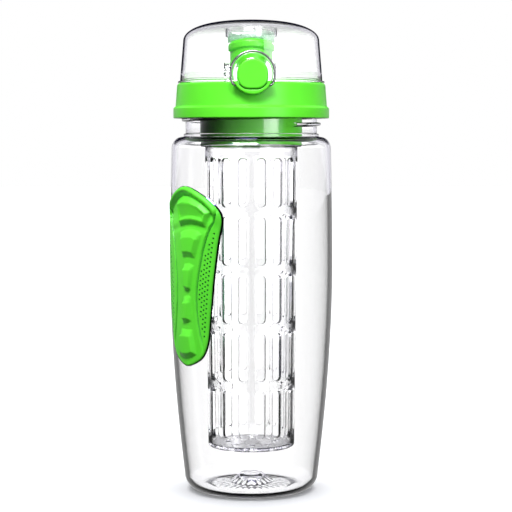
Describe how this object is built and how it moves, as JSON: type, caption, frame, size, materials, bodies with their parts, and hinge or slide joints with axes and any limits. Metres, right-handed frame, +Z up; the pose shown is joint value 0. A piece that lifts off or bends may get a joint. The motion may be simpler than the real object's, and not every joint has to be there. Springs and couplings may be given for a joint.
{
  "type": "infuser water bottle",
  "caption": "Clear bottle with a screw lid, flip cover with push-button latch and locking bail, side grip and a slotted fruit basket.",
  "frame": {"origin": "centre of the bottle's footprint on the surface that it stands on", "axes": "+Z up along the bottle's axis, -Y towards the release button, +X to the right seen from the button's side"},
  "size_m": [0.0922, 0.095, 0.2657],
  "materials": {
    "clear_vessel": "gloss",
    "clear_cover": "gloss",
    "clear_basket": "gloss",
    "green_plastic": "satin",
    "green_silicone": "matte",
    "clear_silicone": "satin",
    "steel": "polished"
  },
  "bodies": {
    "vessel": {"bottle": "clear_vessel", "grip_pad": "green_silicone"},
    "lid_ring": {"lid_gasket": "clear_silicone"},
    "lid": {"lid_shell": "green_plastic", "basket_collar": "green_plastic", "mouthpiece": "green_plastic", "latch_bezel": "green_plastic", "hinge_pin": "steel", "hinge_spring": "steel"},
    "cover": {"flip_cover": "clear_cover", "spout_seal": "clear_silicone"},
    "bail": {"lock_bail": "steel"},
    "button": {"release_button": "green_plastic", "button_spring": "steel"},
    "basket": {"infuser_basket": "clear_basket"}
  },
  "joints": [
    {"name": "lid_rise", "type": "slide", "parent": "vessel", "child": "lid_ring", "axis": [0, 0, 1], "range_m": [0, 0.0063]},
    {"name": "lid_turn", "type": "hinge", "parent": "lid_ring", "child": "lid", "pos_m": [0, 0, 0.22], "axis": [0, 0, 1], "range_deg": [0, 500]},
    {"name": "cover_flip", "type": "hinge", "parent": "lid", "child": "cover", "pos_m": [0, 0.0434, 0.237], "axis": [-1, 0, 0], "range_deg": [0, 120], "deforming": ["hinge_spring"]},
    {"name": "bail_swing", "type": "hinge", "parent": "lid", "child": "bail", "pos_m": [0, -0.0456, 0.2279], "axis": [1, 0, 0], "range_deg": [0, 150]},
    {"name": "button_press", "type": "slide", "parent": "lid", "child": "button", "axis": [0, 1, 0], "range_m": [0, 0.0018], "stiffness_N_per_m": 300, "deforming": ["button_spring"]},
    {"name": "basket_twist", "type": "hinge", "parent": "lid", "child": "basket", "pos_m": [0, 0, 0.2], "axis": [0, 0, 1], "range_deg": [0, 35]}
  ],
  "couplings": [
    {"joint": "lid_rise", "follows": "lid_turn", "m_per_rad": 0.0007162}
  ]
}
